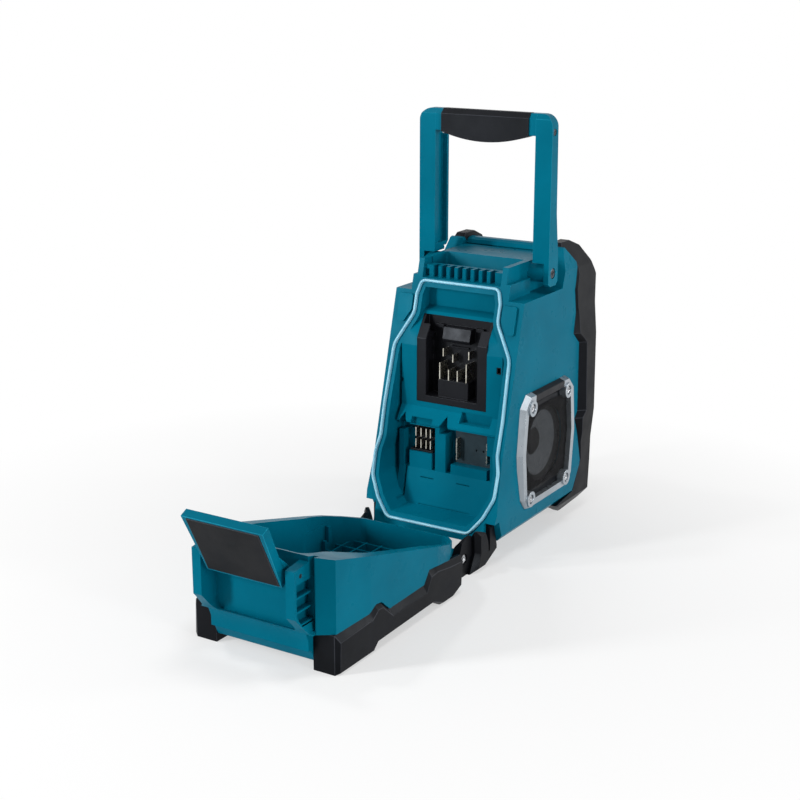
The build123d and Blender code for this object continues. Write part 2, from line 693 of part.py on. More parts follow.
def latch():
    plate = latch_prism([(-latch_tail, latch_face), (latch_reach, latch_face),
                         (latch_reach, latch_face - latch_skin), (20, latch_face - latch_skin), (6, -4),
                         (-3, -4), (-latch_tail, 2)], -latch_half_top, latch_half_top)
    inner_face = latch_face - 2.6
    inner_half = latch_half_low - 4
    pocket = latch_prism([(-latch_tail - 5, inner_face), (latch_reach - 2.4, inner_face),
                          (latch_reach - 2.4, -20), (-latch_tail - 5, -20)], -inner_half, inner_half)
    low_z = latch_point(-latch_tail - 1, latch_face)[1]
    high_z = latch_point(latch_reach + 1, latch_face)[1]
    taper = [(latch_half_low, low_z - 12), (latch_half_low, low_z), (latch_half_top, high_z),
             (latch_half_top, high_z + 12), (latch_half_top + 9, high_z + 12),
             (latch_half_top + 9, low_z - 12)]
    plate = plate - pocket - both(prism_xz(Polygon(*taper, align=None), 200, 320))
    limit = latch_prism([(-4, latch_face), (50, latch_face), (50, 2.5), (22, 2.5), (7, -3.5), (-3, -3.5)],
                        -inner_half, inner_half)
    for x in (-22, 0, 22):
        plate = plate + (block(x - 1, x + 1, 200, 320, 60, 160) & pocket & limit)
    hook = [(44, 3.2), (51, 3.2), (51, 0.6), (49, -0.6), (44, 0.6)]
    plate = plate + both(latch_prism(hook, inner_half - 3, inner_half + 4))
    seat = latch_prism([(-latch_tail + pad_margin, latch_face + 1), (latch_reach - pad_margin, latch_face + 1),
                        (latch_reach - pad_margin, latch_face - pad_sunk),
                        (-latch_tail + pad_margin, latch_face - pad_sunk)],
                       -latch_half_low + pad_margin, latch_half_low - pad_margin)
    plate = plate - seat
    return plate - rod_x(-far_x, far_x, latch_y, latch_z, latch_pin_r + latch_play)


def latch_pad():
    margin = pad_margin + 0.2
    low_u, high_u = margin - latch_tail, latch_reach - margin
    outer_n, seat_n = latch_face + pad_proud, latch_face - pad_sunk
    return latch_prism([(low_u, outer_n), (high_u, outer_n), (high_u, seat_n), (low_u, seat_n)],
                       margin - latch_half_low, latch_half_low - margin)


# ---------------------------------------------------------------- handle
handle_screw_z = handle_top_z - 17
handle_screw_y = arm_rear_y - arm_depth_top / 2


def handle_arm():
    """Arm with an L section, a rounded top corner and a cut-out that clears the housing's barrel."""
    side = [(arm_rear_y, arm_low_z + 3), (arm_rear_y, handle_top_z - 5), (arm_rear_y - 4, handle_top_z),
            (arm_rear_y - arm_depth_top, handle_top_z), (arm_rear_y - arm_depth_top - 2, handle_top_z - 96),
            (arm_rear_y - arm_depth_low, pivot_z + 13.5), (arm_rear_y - arm_depth_low, arm_low_z + 4),
            (arm_rear_y - 16, arm_low_z), (arm_rear_y - 4, arm_low_z)]
    arm = prism_yz(side, arm_in, arm_out)
    front = Polygon((arm_in - 1, arm_low_z - 9), (arm_out, arm_low_z - 9), (arm_out, handle_top_z),
                    (arm_in - 1, handle_top_z), align=None)
    front = fillet(front.vertices().sort_by(lambda v: v.X + v.Y)[-1], arm_corner_r)
    arm = arm & prism_xz(front, arm_rear_y - 40, arm_rear_y + 10)
    inner_low, inner_front = pivot_z + 24, arm_rear_y - arm_inner_depth
    inner = prism_yz([(arm_rear_y - 6, inner_low), (arm_rear_y - 6, bar_low_z + 3),
                      (arm_rear_y - arm_depth_top, bar_low_z + 3), (inner_front, bar_low_z - 8),
                      (inner_front, inner_low + 4), (inner_front + 4, inner_low)], arm_in, arm_in + arm_inner)
    groove = block(arm_in - 1, arm_in + arm_groove, inner_front + 3.5, arm_rear_y - 4,
                   inner_low + 4, bar_low_z - 4)
    strip = block(arm_in + 2, arm_in + arm_groove + 1, arm_rear_y - 11, arm_rear_y - 6,
                  inner_low + 3, bar_low_z - 3)
    clear_z = pivot_z + barrel_r + 1
    barrel_room = block(arm_in - 1, barrel_out + 0.3, arm_rear_y - 40, arm_rear_y + 10,
                        arm_low_z - 9, clear_z)
    counterbore = rod_x(arm_out - 2.5, arm_out + 1, pivot_y, pivot_z, pin_head_r + 0.5)
    top_bore = rod_x(arm_out - 2.5, arm_out + 1, handle_screw_y, handle_screw_z, 3.6)
    top_hole = rod_x(arm_in - 1, arm_out, handle_screw_y, handle_screw_z, 1.8)
    arm = arm + inner - groove + strip - barrel_room - counterbore - top_bore - top_hole
    return arm - rod_x(arm_in - 6, arm_out + 6, pivot_y, pivot_z, pivot_screw_r)


def bar_prism(half_length):
    side = [(arm_rear_y, bar_low_z), (arm_rear_y, handle_top_z - 5), (arm_rear_y - 4, handle_top_z),
            (arm_rear_y - arm_depth_top, handle_top_z), (arm_rear_y - arm_depth_top, bar_low_z)]
    return prism_yz(side, -half_length, half_length)


def handle_bar():
    bar = bar_prism(arm_in)
    return bar - both(rod_x(arm_in - 9, arm_in + 1, handle_screw_y, handle_screw_z, 1.8))


def handle_screw():
    """Screw through the arm's top into the crossbar."""
    head = rod_x(arm_out - 2.5, arm_out - 0.4, handle_screw_y, handle_screw_z, 3.3)
    return head + rod_x(arm_in - 9, arm_out - 2.4, handle_screw_y, handle_screw_z, 1.8)


def handle_grip():
    """Rubber sleeve round the crossbar, with a bowed underside."""
    low, top = bar_low_z - 1, handle_top_z + 0.5
    edge = Polyline((-grip_half, low), (-grip_half, top), (grip_half, top), (grip_half, low))
    belly = ThreePointArc((grip_half, low), (0, low - grip_belly), (-grip_half, low))
    front = make_face(edge.edges() + belly.edges())
    body = prism_xz(front, arm_rear_y - arm_depth_top - grip_proud, arm_rear_y + grip_proud)
    section = Polygon((arm_rear_y + grip_proud, low - 20), (arm_rear_y + grip_proud, top - 5),
                      (arm_rear_y - 4, top), (arm_rear_y - arm_depth_top + 3, top),
                      (arm_rear_y - arm_depth_top - grip_proud, top - 4),
                      (arm_rear_y - arm_depth_top - grip_proud, low - 20), align=None)
    body = body & extrude_yz(section, -far_x, far_x)
    return body - bar_prism(far_x)


# ---------------------------------------------------------------- front
def front_bumper():
    """Rubber bumper with bevels towards the housing's side and towards the front."""
    b = bumper_bevel
    rear = [(-170, base_z)] + front_line + ear_line[:2]
    rear_out = [(-176, base_z + 4)] + [(y - b, z) for y, z in front_line]
    rear_out = rear_out + [(y - b, z - 2) for y, z in ear_line[:2]]
    rim = [(front_y + 16, top_z + 42.3), (front_y - 3, top_z + 42.3), (front_y - 20, top_z + 35.3),
           (bumper_out_y, top_z + 4.3), (bumper_out_y, 18), (front_y - 38, 7), (front_y - 12, 0),
           (front_y - 5, 0)]
    rim_out = [(front_y + 6, top_z + 36), (front_y - 5, top_z + 38), (front_y - 18, top_z + 31),
               (bumper_out_y + 6, top_z + 1), (bumper_out_y + 6, 21), (front_y - 34, 12), (front_y - 16, 6),
               (front_y - 9, 6)]
    inner_x = half_width - 1
    body = prism_yz(rear + rim, panel_half, inner_x)
    body = body + ruled_yz(rear + rim, inner_x, rear_out + rim_out, half_width + 7)
    outline = Polygon((panel_half, 0), (panel_half + 6, 0), (half_width + 0.5, 19), (half_width + 2, 52),
                      (half_width + 2.5, 78), (half_width + 7, 111), (half_width + 6, 193),
                      (half_width + 2, top_z - 26.7), (half_width + 2, top_z + 8.3),
                      (half_width + 0.5, top_z + 16.3), (half_width - 12, top_z + 42.3),
                      (panel_half, top_z + 42.3), align=None)
    return body & prism_xz(outline, -260, -150)


def front_panel():
    side = front_line[:-1] + [(front_y, top_z + 1.3), (front_y, top_z + 35.3), (front_y - 10, top_z + 35.3),
                              (panel_y, top_z + 16.3), (panel_y, 30), (front_y - 20, 20), (front_y - 2, 20)]
    body = prism_yz(side, -panel_half, panel_half)
    hollow = block(-panel_half + wall, panel_half - wall, panel_y + panel_wall, front_y + 14, 36, top_z + 4.3)
    body = body - hollow
    half_w, half_h = lens_width / 2, lens_height / 2
    body = body - block(-half_w + lens_lip, half_w - lens_lip, panel_y - 1, panel_y + 9,
                        lens_z - half_h + lens_lip, lens_z + half_h - lens_lip)
    body = body - block(-half_w, half_w, panel_y - 1, panel_y + lens_thick, lens_z - half_h, lens_z + half_h)
    for x, z, r in button_places():
        body = body - rod_y(x, panel_y - 1, panel_y + 9, z, r + button_play)
    body = body - rod_y(0, panel_y - 1, panel_y + 9, knob_z, shaft_r + shaft_play)
    for x in (-41, 41):
        for z in (96, 246):
            body = body + rod_y(x, panel_y + panel_wall - 0.5, board_y, z, 3)
    return body


def button_places():
    """(x, z, radius) of the function buttons and then the preset buttons."""
    upper = [(x, 186, 6.5) for x in (-28, 0, 28)]
    lower = [(x, 163, 5.5) for x in (-36, -18, 0, 18, 36)]
    return upper + lower


button_names = ["button_power", "button_source", "button_menu", "button_preset_1", "button_preset_2",
                "button_preset_3", "button_preset_4", "button_preset_5"]


# ---------------------------------------------------------------- speakers
def frame_ring():
    """Bevelled frame round the grille, with a thicker boss at each screw."""
    base, face = speaker_outline(), speaker_outline(-frame_bevel)
    ring = loft([(Plane.YZ.offset(half_width) * base).face(),
                 (Plane.YZ.offset(half_width + frame_lift) * face).face()], ruled=True)
    ring = ring - speaker_plate(half_width - 1, far_x, -frame_band)
    lift = half_width + frame_lift
    for y, z in screw_places():
        ring = ring + rod_x(half_width, lift + corner_lift, y, z, corner_r)
    for y, z in screw_places():
        ring = ring - rod_x(half_width - 1, far_x, y, z, speaker_screw_r)
        ring = ring - rod_x(half_width + 4, far_x, y, z, speaker_screw_r + 2.6)
    return ring


def top_bar():
    """The black bar along the frame's top edge."""
    reach = screw_half_y - corner_r
    return block(half_width - 1, far_x, speaker_y - reach, speaker_y + reach, speaker_z + screw_half_z - 2,
                 speaker_z + screw_half_z + 30)


def grille():
    plate = speaker_plate(half_width, half_width + 1.6, -frame_band - 0.1)
    for y, z in screw_places():
        plate = plate - rod_x(half_width - 12, far_x, y, z, corner_r + 0.1)
    first = speaker_z - louvre_pitch * (louvre_count - 1) / 2
    for i in range(louvre_count):
        z = first + louvre_pitch * i
        plate = plate - block(half_width - 12, far_x, speaker_y - 34, speaker_y + 34, z - 2, z + 2)
    return max(plate.solids(), key=lambda solid: solid.volume)


def revolved_about_speaker(line, back_x):
    solid = revolve(make_face(Plane.XZ * line), Axis.Z)
    return Pos(back_x, speaker_y, speaker_z) * Rot(0, 90, 0) * solid


# ---------------------------------------------------------------- assemble the nodes
nodes = {}
nodes["main_housing"] = housing()
nodes["battery_compartment"] = compartment()

# seal: a D section on the rear plane, swept as two mirrored halves
tilt = math.sqrt(1 + rear_slope ** 2)
path = seal_path(lambda x, z: Vector(x, rear_y(z), z))
start = Plane(origin=(0, rear_y(seal_top_z), seal_top_z), x_dir=(0, 1 / tilt, rear_slope / tilt),
              z_dir=(1, 0, 0))
stem = seal_height - seal_half_width
section = Pos(stem, 0) * Circle(seal_half_width) + Pos(stem / 2, 0) * Rectangle(stem, 2 * seal_half_width)
section = section & Pos(5, 0) * Rectangle(10, 20)
seal = sweep(start * section, path=path)
nodes["door_seal"] = seal + mirror(seal, about=Plane.YZ)

nodes["battery_socket"] = battery_socket()
nodes["socket_terminals"] = solid_set(socket_blades())
x0, x1, z0, z1 = small_bay
nodes["bay_socket"] = block(x0, x1, -88, -80, z0, z1 + 1) + block(x0, x1, -80.1, -71, z0, z0 + 2)
bay_blades = [block(x - 0.5, x + 0.5, -80, -73, z, z + 9) for x in (23, 28, 34, 40) for z in (93, 105)]
nodes["bay_terminals"] = solid_set(bay_blades)
p0, p1, q0, q1 = plate_bay
nodes["adapter_plate"] = block(p0, p1, -88, -79, q0, q1) - both(rod_y(0, -80.5, -78, 104, 1.2)) \
    - rod_y(-27, -80.5, -78, 99, 1.2) - rod_y(-35, -80.5, -78, 99, 1.2)
nodes["adapter_terminals"] = solid_set([block(x - 0.6, x + 0.6, -79, -72, 88, 110) for x in (-8, -42)])
nodes["usb_port"] = block(-usb_x - 2.5, -usb_x + 2.5, -84, -74.2, 182, 189) \
    - block(-usb_x - 1.5, -usb_x + 1.5, -80, -74, 183, 188)
nodes["aux_jack"] = rod_y(-aux_x, -80, -74, aux_z, aux_r) - rod_y(-aux_x, -79, -73.9, aux_z, plug_r)
nodes["power_board"] = block(-38, 38, insert_back_y - board_thick, insert_back_y, 130, block_slope_z + 3)
board_seat_z = base_z + wall + 5.1
nodes["main_board"] = block(-27, 27, -190, -110, board_seat_z, board_seat_z + board_thick)

nodes["front_bumper_right"] = front_bumper()
nodes["front_bumper_left"] = mirror(front_bumper(), about=Plane.YZ)
nodes["front_panel"] = front_panel()
half_w, half_h = lens_width / 2, lens_height / 2
nodes["display_lens"] = block(-half_w + 0.1, half_w - 0.1, panel_y, panel_y + lens_thick,
                              lens_z - half_h + 0.1, lens_z + half_h - 0.1)
nodes["display_module"] = block(-half_w, half_w, panel_y + panel_wall, board_y,
                                lens_z - half_h, lens_z + half_h)
nodes["control_board"] = block(-panel_half + 5, panel_half - 5, board_y, board_y + board_thick, 92, 250)
nodes["knob_encoder"] = rod_y(0, panel_y + panel_wall, board_y, knob_z, 7)
for name, (x, z, r) in zip(button_names, button_places()):
    stem_part = rod_y(x, panel_y, panel_y + panel_wall + button_inner, z, r)
    nodes[name] = stem_part + rod_y(x, panel_y - button_out, panel_y, z, r)
switch_y = panel_y + panel_wall + button_inner + button_travel + 0.2
nodes["tact_switches"] = solid_set([block(x - 3, x + 3, switch_y, board_y, z - 3, z + 3)
                                    for x, z, r in button_places()])
knob = rod_y(0, panel_y - 0.5 - knob_depth, panel_y - 0.5, knob_z, knob_r)
nodes["tuning_knob"] = knob + rod_y(0, panel_y - 1, panel_y + panel_wall - 0.3, knob_z, shaft_r)

head_x = foot_lug_x - 3.5
foot = hinge_foot_solid() - rod_x(foot_in - 1, head_x + 2, 0, hinge_z, hinge_pin_r)
foot = foot - rod_x(head_x, far_x, 0, hinge_z, pin_head_r + head_clearance)
nodes["hinge_foot_right"] = foot
nodes["hinge_foot_left"] = mirror(foot, about=Plane.YZ)
pin = rod_x(knuckle_in + 1, head_x, 0, hinge_z, hinge_pin_r)
pin = pin + rod_x(head_x, head_x + 2.5, 0, hinge_z, pin_head_r)
nodes["hinge_pins"] = solid_set([pin, mirror(pin, about=Plane.YZ)])

ring = frame_ring()
nodes["speaker_frame_right"] = ring - top_bar()
nodes["speaker_frame_left"] = mirror(ring - top_bar(), about=Plane.YZ)
nodes["speaker_bar_right"] = ring & top_bar()
nodes["speaker_bar_left"] = mirror(ring & top_bar(), about=Plane.YZ)
nodes["speaker_grille_right"] = grille()
nodes["speaker_grille_left"] = mirror(grille(), about=Plane.YZ)
cone_line = Polyline((14, 0), (38, 9), (40, 10), (42, 9), (42, 10), (40, 11.2), (37.5, 10.2), (14, 1.2),
                     (10, 4), (0, 5.5), (0, 4), (9, 2.5), (14, 0))
cone = revolved_about_speaker(cone_line, half_width - wall - 11.2)
nodes["speaker_cone_right"] = cone
nodes["speaker_cone_left"] = mirror(cone, about=Plane.YZ)
basket_line = Polyline((0, 0), (22, 0), (22, 14), (24, 16), (46, 30), (46, 32), (42.2, 32), (42.2, 29.6),
                       (20, 18), (12, 17), (0, 17), (0, 0))
basket = revolved_about_speaker(basket_line, half_width - wall - 32)
nodes["speaker_driver_right"] = basket
nodes["speaker_driver_left"] = mirror(basket, about=Plane.YZ)
screws = []
for y, z in screw_places():
    shank = rod_x(half_width - 4, half_width + 4, y, z, speaker_screw_r)
    screws.append(shank + rod_x(half_width + 4, half_width + 6.5, y, z, speaker_screw_r + 2))
nodes["speaker_screws"] = solid_set(screws + [mirror(s, about=Plane.YZ) for s in screws])

nodes["handle_arm_right"] = handle_arm()
nodes["handle_arm_left"] = mirror(handle_arm(), about=Plane.YZ)
nodes["handle_crossbar"] = handle_bar()
nodes["handle_grip"] = handle_grip()
pivot = rod_x(upstand_half - 2, arm_out - 2, pivot_y, pivot_z, pivot_screw_r)
pivot = pivot + rod_x(arm_out - 2.5, arm_out - 0.3, pivot_y, pivot_z, pin_head_r)
nodes["handle_pivot_screws"] = solid_set([pivot, mirror(pivot, about=Plane.YZ)])
nodes["handle_screws"] = solid_set([handle_screw(), mirror(handle_screw(), about=Plane.YZ)])

bumper = bumper_solid()
nodes["battery_door"] = door() - both(bumper)
nodes["door_bumper_right"] = bumper
nodes["door_bumper_left"] = mirror(bumper, about=Plane.YZ)
nodes["latch_plate"] = latch()
nodes["latch_pad"] = latch_pad()
nodes["latch_pin"] = rod_x(-frame_half, frame_half, latch_y, latch_z, latch_pin_r)

whole = Compound(children=[s for shape in nodes.values() for s in shape.solids()])
box = whole.bounding_box()
to_base = Location((0, -(box.min.Y + box.max.Y) / 2, -box.min.Z))
for name, shape in nodes.items():
    export_step(Compound(children=list(shape.solids())).moved(to_base), f"parts/{name}.step")
print("overall", box.size, "moved by", to_base.position)
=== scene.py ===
import json
import math

import bpy
import bmesh
from mathutils import Matrix, Vector


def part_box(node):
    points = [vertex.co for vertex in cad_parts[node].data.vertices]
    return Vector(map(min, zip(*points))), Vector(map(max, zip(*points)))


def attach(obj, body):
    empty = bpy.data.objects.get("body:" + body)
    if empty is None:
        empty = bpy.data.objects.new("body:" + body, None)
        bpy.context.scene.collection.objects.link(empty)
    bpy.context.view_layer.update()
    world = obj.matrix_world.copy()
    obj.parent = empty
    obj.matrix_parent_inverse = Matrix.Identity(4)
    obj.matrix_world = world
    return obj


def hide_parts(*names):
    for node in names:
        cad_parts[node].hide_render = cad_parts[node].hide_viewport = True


# A teal jobsite radio with its battery door open on the floor.
# Metres, +Z up; the control panel faces -Y and the open battery door lies towards +Y.

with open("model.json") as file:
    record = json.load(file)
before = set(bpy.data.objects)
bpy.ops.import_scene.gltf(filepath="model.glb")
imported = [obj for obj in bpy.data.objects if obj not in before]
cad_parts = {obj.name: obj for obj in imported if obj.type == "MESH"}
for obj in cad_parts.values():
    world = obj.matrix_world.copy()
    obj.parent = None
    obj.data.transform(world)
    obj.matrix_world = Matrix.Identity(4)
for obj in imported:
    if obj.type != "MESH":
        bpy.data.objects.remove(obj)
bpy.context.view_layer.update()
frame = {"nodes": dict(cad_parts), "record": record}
nodes = frame["nodes"]
record = frame["record"]
scene = bpy.context.scene
body_of = {name: body for body, names in record["behaviour"]["bodies"].items() for name in names}
slot_of = {part["node"]: part["material_slot"] for part in record["subparts"]}
MM = 0.001


# ---------------------------------------------------------------- material helpers
# Most of a noise pattern lies between these two values.
NOISE_LOW, NOISE_HIGH = 0.3, 0.7


def srgb(r, g, b):
    """A linear colour from 0-255 display values."""
    def linear(v):
        v = v / 255
        return v / 12.92 if v <= 0.04045 else ((v + 0.055) / 1.055) ** 2.4
    return (linear(r), linear(g), linear(b), 1.0)


class Finish:
    """A material under construction: its node tree and small helpers that add nodes to it."""

    def __init__(self, name, roughness=0.5, metallic=0.0, specular=0.5, tint=(1, 1, 1)):
        self.material = bpy.data.materials.new(name)
        self.material.use_nodes = True
        self.tree = self.material.node_tree
        self.shader = self.tree.nodes["Principled BSDF"]
        self.shader.inputs["Roughness"].default_value = roughness
        self.shader.inputs["Metallic"].default_value = metallic
        self.shader.inputs["Specular IOR Level"].default_value = specular
        self.shader.inputs["Specular Tint"].default_value = (*tint, 1)
        self.place = self.tree.nodes.new("ShaderNodeTexCoord").outputs["Object"]

    def noise(self, scale, detail):
        """A 0-1 pattern of soft blotches, finer with a larger scale."""
        node = self.tree.nodes.new("ShaderNodeTexNoise")
        node.inputs["Scale"].default_value = scale
        node.inputs["Detail"].default_value = detail
        self.tree.links.new(self.place, node.inputs["Vector"])
        return node.outputs["Fac"]

    def cells(self, scale):
        """A pattern that rises from 0 at the middle of each small cell."""
        node = self.tree.nodes.new("ShaderNodeTexVoronoi")
        node.inputs["Scale"].default_value = scale
        self.tree.links.new(self.place, node.inputs["Vector"])
        return node.outputs["Distance"]

    def ramp(self, source, low, high, start, end):
        """Maps a source from low-high to start-end, and holds it there outside that range."""
        node = self.tree.nodes.new("ShaderNodeMapRange")
        node.inputs["From Min"].default_value = low
        node.inputs["From Max"].default_value = high
        node.inputs["To Min"].default_value = start
        node.inputs["To Max"].default_value = end
        self.tree.links.new(source, node.inputs["Value"])
        return node.outputs["Result"]

    def colour(self, source, dark, light, low=0.35, high=0.65):
        """Base colour that wanders between two tones with the pattern."""
        node = self.tree.nodes.new("ShaderNodeMix")
        node.data_type = "RGBA"
        node.inputs["A"].default_value = dark
        node.inputs["B"].default_value = light
        self.tree.links.new(self.ramp(source, low, high, 0.0, 1.0), node.inputs["Factor"])
        self.tree.links.new(node.outputs["Result"], self.shader.inputs["Base Color"])

    def rough(self, source, smooth, dull):
        """Roughness that wanders between two values with the pattern."""
        uneven = self.ramp(source, NOISE_LOW, NOISE_HIGH, smooth, dull)
        self.tree.links.new(uneven, self.shader.inputs["Roughness"])

    def product(self, first, second):
        """Two patterns multiplied."""
        node = self.tree.nodes.new("ShaderNodeMath")
        node.operation = "MULTIPLY"
        self.tree.links.new(first, node.inputs[0])
        self.tree.links.new(second, node.inputs[1])
        return node.outputs["Value"]

    def distance_from_x_axis(self, axis_y, axis_z):
        """How far a point lies from a line along X."""
        centre = self.tree.nodes.new("ShaderNodeMapping")
        centre.inputs["Scale"].default_value = (0, 1, 1)
        centre.inputs["Location"].default_value = (0, -axis_y, -axis_z)
        self.tree.links.new(self.place, centre.inputs["Vector"])
        length = self.tree.nodes.new("ShaderNodeVectorMath")
        length.operation = "LENGTH"
        self.tree.links.new(centre.outputs["Vector"], length.inputs[0])
        return length.outputs["Value"]

    def bump(self, source, height, strength):
        """Relief from a pattern, with its height in metres."""
        node = self.tree.nodes.new("ShaderNodeBump")
        node.inputs["Distance"].default_value = height
        node.inputs["Strength"].default_value = strength
        self.tree.links.new(source, node.inputs["Height"])
        self.tree.links.new(node.outputs["Normal"], self.shader.inputs["Normal"])


# Tints of the gloss, the share of light that the seal lets in, and how far each colour gets.
COOL_SHEEN = (0.3, 0.85, 1.0)
GREY_SHEEN = (0.82, 0.9, 1.0)
SEAL_GLOW = 0.15
SEAL_GLOW_DEPTH = (1.0 * MM, 1.6 * MM, 2.0 * MM)
# The paper of a cone lies between its cap and its surround, and is darker where its fibres are thin.
CAP_RADIUS = 13.5 * MM
CONE_RADIUS = 33 * MM
RING_BLUR = 1 * MM
THIN_FIBRES = 0.72


def moulded_teal(name, dark, light):
    """Satin moulded housing plastic: fine grain, slightly uneven colour and gloss."""
    finish = Finish(name, specular=0.03, tint=COOL_SHEEN)
    finish.colour(finish.noise(scale=14, detail=4), dark, light)
    finish.rough(finish.noise(scale=60, detail=3), smooth=0.26, dull=0.36)
    finish.bump(finish.noise(scale=1900, detail=2), height=0.06 * MM, strength=0.5)
    return finish.material


def black_rubber(name, dark, light):
    """Overmoulded rubber: matt and grained, with slightly uneven tone."""
    finish = Finish(name, specular=0.09, tint=GREY_SHEEN)
    finish.colour(finish.noise(scale=22, detail=5), dark, light)
    finish.rough(finish.noise(scale=45, detail=3), smooth=0.36, dull=0.5)
    finish.bump(finish.noise(scale=1500, detail=3), height=0.12 * MM, strength=0.6)
    return finish.material


def black_plastic():
    """Fine-grained black moulding of the sockets, the front panel and the speaker bars."""
    finish = Finish("black_plastic", specular=0.16, tint=GREY_SHEEN)
    finish.colour(finish.noise(scale=30, detail=4), srgb(11, 11, 14), srgb(18, 18, 22))
    finish.rough(finish.noise(scale=80, detail=3), smooth=0.34, dull=0.48)
    finish.bump(finish.noise(scale=1800, detail=2), height=0.06 * MM, strength=0.5)
    return finish.material


def seal_tube():
    """Soft pale blue sealing tube, a little translucent."""
    finish = Finish("seal_tube", specular=0.5)
    finish.shader.inputs["Subsurface Weight"].default_value = SEAL_GLOW
    finish.shader.inputs["Subsurface Radius"].default_value = SEAL_GLOW_DEPTH
    finish.colour(finish.noise(scale=40, detail=3), srgb(118, 182, 206), srgb(142, 200, 220))
    finish.rough(finish.noise(scale=90, detail=2), smooth=0.3, dull=0.45)
    finish.bump(finish.noise(scale=700, detail=2), height=0.05 * MM, strength=0.5)
    return finish.material


def silver_paint():
    """Satin metallic paint on the speaker frames."""
    finish = Finish("silver_paint", metallic=0.85)
    finish.colour(finish.noise(scale=80, detail=3), srgb(158, 166, 173), srgb(166, 174, 181))
    finish.rough(finish.noise(scale=120, detail=3), smooth=0.26, dull=0.32)
    finish.bump(finish.noise(scale=900, detail=2), height=0.004 * MM, strength=0.2)
    return finish.material


def zinc_steel():
    """Bright plated steel of the speaker screws, the hinge pins, the drivers and the encoder."""
    finish = Finish("zinc_steel", metallic=1.0)
    finish.colour(finish.noise(scale=300, detail=3), srgb(170, 172, 176), srgb(205, 207, 210))
    finish.rough(finish.noise(scale=500, detail=2), smooth=0.22, dull=0.38)
    finish.bump(finish.noise(scale=1600, detail=2), height=0.02 * MM, strength=0.5)
    return finish.material


def dark_steel():
    """Blackened steel of the handle's screws and the latch's pin."""
    finish = Finish("dark_steel", metallic=0.9)
    finish.colour(finish.noise(scale=260, detail=3), srgb(46, 49, 54), srgb(74, 77, 82))
    finish.rough(finish.noise(scale=400, detail=2), smooth=0.35, dull=0.5)
    finish.bump(finish.noise(scale=1500, detail=2), height=0.02 * MM, strength=0.5)
    return finish.material


def plated_contact():
    """Nickel-plated blades and terminals."""
    finish = Finish("plated_contact", metallic=1.0)
    finish.colour(finish.noise(scale=250, detail=3), srgb(176, 172, 158), srgb(214, 212, 202))
    finish.rough(finish.noise(scale=400, detail=2), smooth=0.22, dull=0.36)
    finish.bump(finish.noise(scale=1500, detail=2), height=0.01 * MM, strength=0.2)
    return finish.material


def cone_paper(axis_y, axis_z):
    """Pressed fibre cone between a black dust cap and a black rubber surround."""
    finish = Finish("cone_paper", specular=0.25)
    radius = finish.distance_from_x_axis(axis_y, axis_z)
    outside_cap = finish.ramp(radius, CAP_RADIUS, CAP_RADIUS + RING_BLUR, 0.0, 1.0)
    inside_surround = finish.ramp(radius, CONE_RADIUS, CONE_RADIUS + RING_BLUR, 1.0, 0.0)
    fibres = finish.ramp(finish.noise(scale=260, detail=5), NOISE_LOW, NOISE_HIGH, THIN_FIBRES, 1.0)
    paper = finish.product(finish.product(outside_cap, inside_surround), fibres)
    finish.colour(paper, srgb(19, 19, 22), srgb(126, 132, 138), 0.0, 1.0)
    finish.rough(finish.noise(scale=300, detail=3), smooth=0.5, dull=0.7)
    finish.bump(finish.noise(scale=1100, detail=4), height=0.1 * MM, strength=0.7)
    return finish.material


def mesh_wire():
    """Black lacquered wire of the speaker mesh."""
    finish = Finish("mesh_wire", specular=0.3)
    finish.colour(finish.noise(scale=200, detail=3), srgb(18, 18, 20), srgb(30, 31, 34))
    finish.rough(finish.noise(scale=300, detail=2), smooth=0.4, dull=0.55)
    finish.bump(finish.noise(scale=2000, detail=2), height=0.02 * MM, strength=0.4)
    return finish.material


def adapter_grey():
    """Dark blue-grey plastic of the adapter plate."""
    finish = Finish("adapter_grey", specular=0.2)
    finish.colour(finish.noise(scale=60, detail=4), srgb(30, 45, 52), srgb(42, 59, 67))
    finish.rough(finish.noise(scale=90, detail=3), smooth=0.4, dull=0.55)
    finish.bump(finish.noise(scale=1400, detail=2), height=0.05 * MM, strength=0.5)
    return finish.material


def board_green():
    """Lacquered circuit board."""
    finish = Finish("board_green", specular=0.5)
    finish.colour(finish.noise(scale=160, detail=3), srgb(14, 66, 36), srgb(22, 86, 48))
    finish.rough(finish.noise(scale=200, detail=2), smooth=0.3, dull=0.42)
    finish.bump(finish.cells(700), height=0.03 * MM, strength=0.4)
    return finish.material


def display_window():
    """Dark glossy window over the display."""
    finish = Finish("display_window", specular=0.6)
    finish.colour(finish.noise(scale=20, detail=2), srgb(14, 18, 21), srgb(20, 25, 28))
    finish.rough(finish.noise(scale=60, detail=2), smooth=0.06, dull=0.12)
    finish.bump(finish.noise(scale=300, detail=2), height=0.01 * MM, strength=0.2)
    return finish.material


def keypad_grey():
    """Matt grey of the buttons and the tuning knob."""
    finish = Finish("keypad_grey", specular=0.35)
    finish.colour(finish.noise(scale=50, detail=4), srgb(66, 68, 72), srgb(82, 84, 88))
    finish.rough(finish.noise(scale=90, detail=3), smooth=0.5, dull=0.65)
    finish.bump(finish.noise(scale=1500, detail=2), height=0.05 * MM, strength=0.5)
    return finish.material


